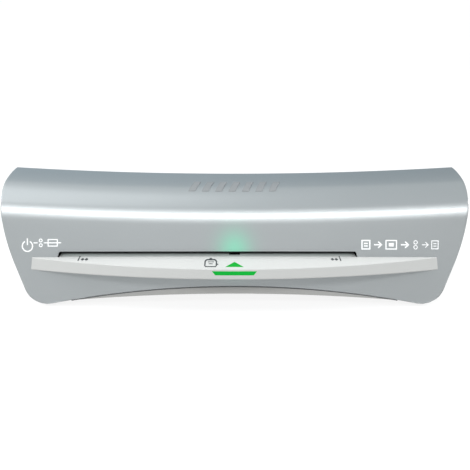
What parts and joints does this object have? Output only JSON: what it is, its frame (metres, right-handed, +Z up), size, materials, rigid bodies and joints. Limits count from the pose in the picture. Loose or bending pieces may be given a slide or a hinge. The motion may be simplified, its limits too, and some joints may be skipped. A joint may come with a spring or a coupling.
{
  "type": "pouch laminator",
  "caption": "Low wide tabletop laminating machine with a bowed metallic cover, a white feed lip under an off-centre entry slot, and heated rollers inside.",
  "frame": {"origin": "centre of the bounding box in plan, on the plane that the rubber feet stand on", "axes": "+X to the right seen from the front, +Y to the back, +Z up; pouches go in at the front, towards +Y"},
  "size_m": [0.385, 0.1554, 0.1],
  "materials": {
    "silver_paint": "satin metallic paint",
    "warm_grey_plastic": "fine texture",
    "white_plastic": "satin",
    "green_inlay": "glossy",
    "green_light": "translucent",
    "dark_window": "glossy",
    "foot_rubber": "matte",
    "silicone": "matte",
    "plated_steel": "zinc plated",
    "ground_steel": "ground",
    "spring_steel": "oiled",
    "screw_steel": "zinc plated",
    "aluminium": "mill finish",
    "bush_bronze": "sintered",
    "contact_brass": "plated",
    "black_plastic": "fine texture",
    "gear_nylon": "satin",
    "block_plastic": "satin",
    "motor_metal": "satin",
    "circuit_board": "lacquered",
    "component_plastic": "satin",
    "heater_foil": "film",
    "thermostat_body": "matte",
    "wire_insulation": "smooth",
    "label_film": "matte"
  },
  "bodies": {
    "housing": {"top_shell": "silver_paint", "top_badge": "silver_paint", "left_end_panel": "warm_grey_plastic", "right_end_panel": "warm_grey_plastic", "base_tray": "warm_grey_plastic", "rear_cover": "warm_grey_plastic", "rating_plate": "label_film", "feed_lip": "white_plastic", "arrow_inlay": "green_inlay", "light_bar": "green_light", "lamp_window": "dark_window", "rubber_feet": "foot_rubber", "housing_screws": "screw_steel", "cover_screws": "screw_steel", "power_inlet": "black_plastic", "inlet_pins": "contact_brass", "switch_body": "black_plastic", "left_side_frame": "plated_steel", "right_side_frame": "plated_steel", "tie_rods": "plated_steel", "frame_screws": "screw_steel", "lower_roller_bushes": "bush_bronze", "spring_brackets": "plated_steel", "upper_heater_shoe": "aluminium", "lower_heater_shoe": "aluminium", "upper_heater_element": "heater_foil", "lower_heater_element": "heater_foil", "thermostats": "thermostat_body", "thermal_fuse": "thermostat_body", "heat_shield": "aluminium", "lower_entry_guide": "black_plastic", "upper_entry_guide": "black_plastic", "lower_exit_guide": "black_plastic", "upper_exit_guide": "black_plastic", "idler_stud": "ground_steel", "gear_motor": "motor_metal", "motor_bracket": "plated_steel", "motor_screws": "screw_steel", "control_board": "circuit_board", "board_parts": "component_plastic", "board_screws": "screw_steel", "lamp_board": "circuit_board", "wiring": "wire_insulation"},
    "lower_roller": {"lower_roller_shaft": "ground_steel", "lower_roller_sleeve": "silicone", "lower_roller_clip": "spring_steel", "lower_roller_gear": "gear_nylon"},
    "roller_carriage": {"upper_bearing_blocks": "block_plastic", "pressure_springs": "spring_steel"},
    "upper_roller": {"upper_roller_shaft": "ground_steel", "upper_roller_sleeve": "silicone", "upper_roller_clip": "spring_steel", "upper_roller_gear": "gear_nylon"},
    "idler": {"idler_gear": "gear_nylon"},
    "pinion": {"motor_pinion": "ground_steel"},
    "release": {"release_shaft": "ground_steel", "release_cams": "block_plastic", "release_lever": "black_plastic"},
    "rocker": {"power_rocker": "black_plastic"}
  },
  "joints": [
    {"name": "lower_roller_spin", "type": "hinge", "parent": "housing", "child": "lower_roller", "pos_m": [0, 0.0189, 0.0319], "axis": [1, 0, 0], "continuous": true},
    {"name": "carriage_lift", "type": "slide", "parent": "housing", "child": "roller_carriage", "axis": [0, 0, 1], "range_m": [0, 0.0015], "deforming": ["pressure_springs"]},
    {"name": "upper_roller_spin", "type": "hinge", "parent": "roller_carriage", "child": "upper_roller", "pos_m": [0, 0.0189, 0.0521], "axis": [1, 0, 0], "continuous": true},
    {"name": "idler_spin", "type": "hinge", "parent": "housing", "child": "idler", "pos_m": [0.114, -0.00534, 0.0384], "axis": [1, 0, 0], "continuous": true},
    {"name": "pinion_spin", "type": "hinge", "parent": "housing", "child": "pinion", "pos_m": [0.114, -0.01639, 0.05754], "axis": [1, 0, 0], "continuous": true},
    {"name": "release_turn", "type": "hinge", "parent": "housing", "child": "release", "pos_m": [0, 0.0359, 0.0585], "axis": [1, 0, 0], "range_deg": [0, 30]},
    {"name": "power_rocker_tilt", "type": "hinge", "parent": "housing", "child": "rocker", "pos_m": [0.1225, 0.0634, 0.029], "axis": [0, 0, 1], "range_deg": [-24, 0]}
  ],
  "couplings": [
    {"joint": "upper_roller_spin", "follows": "lower_roller_spin", "ratio": -1},
    {"joint": "idler_spin", "follows": "lower_roller_spin", "ratio": -0.66667},
    {"joint": "pinion_spin", "follows": "lower_roller_spin", "ratio": 1.4286},
    {"joint": "release_turn", "follows": "carriage_lift", "rad_per_m": 349}
  ]
}
